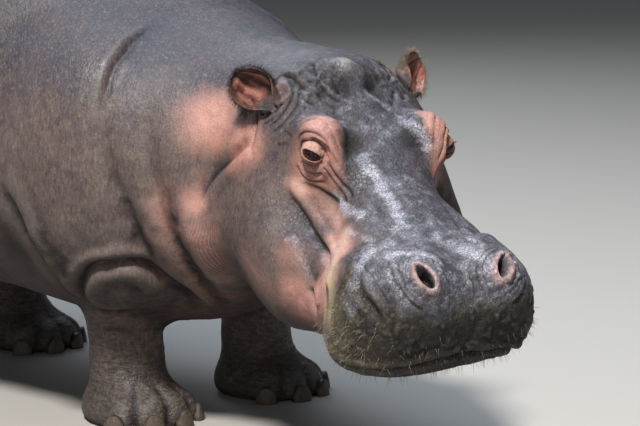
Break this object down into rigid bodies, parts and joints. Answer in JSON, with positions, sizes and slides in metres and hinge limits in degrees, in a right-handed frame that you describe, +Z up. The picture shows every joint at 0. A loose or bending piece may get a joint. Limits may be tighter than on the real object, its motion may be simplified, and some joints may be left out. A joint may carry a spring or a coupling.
{
  "type": "hippopotamus",
  "caption": "Life-size still model of a standing common hippopotamus, its head lowered and turned a little to its right, mouth shut.",
  "frame": {"origin": "on the floor under the middle of the animal's bounding box", "axes": "+Z up; the animal faces -Y; its left side is +X"},
  "size_m": [1.1076, 2.9018, 1.2936],
  "materials": {
    "hide_back": "damp slate-grey bare skin",
    "hide_pink": "damp pink-grey bare skin",
    "hide_leg": "brown-grey bare skin",
    "eye": "wet dark brown",
    "nail": "dark horn"
  },
  "bodies": {
    "root": {"trunk": "hide_back", "neck": "hide_back", "head": "hide_back", "lower_jaw": "hide_pink", "eye_left": "eye", "eye_right": "eye", "ear_left": "hide_pink", "ear_right": "hide_pink", "fore_left_leg": "hide_leg", "fore_left_nail_1": "nail", "fore_left_nail_2": "nail", "fore_left_nail_3": "nail", "fore_left_nail_4": "nail", "fore_left_foot": "hide_leg", "fore_right_leg": "hide_leg", "fore_right_nail_1": "nail", "fore_right_nail_2": "nail", "fore_right_nail_3": "nail", "fore_right_nail_4": "nail", "fore_right_foot": "hide_leg", "hind_left_leg": "hide_leg", "hind_left_nail_1": "nail", "hind_left_nail_2": "nail", "hind_left_nail_3": "nail", "hind_left_nail_4": "nail", "hind_left_foot": "hide_leg", "hind_right_leg": "hide_leg", "hind_right_nail_1": "nail", "hind_right_nail_2": "nail", "hind_right_nail_3": "nail", "hind_right_nail_4": "nail", "hind_right_foot": "hide_leg", "tail": "hide_back"}
  },
  "joints": []
}
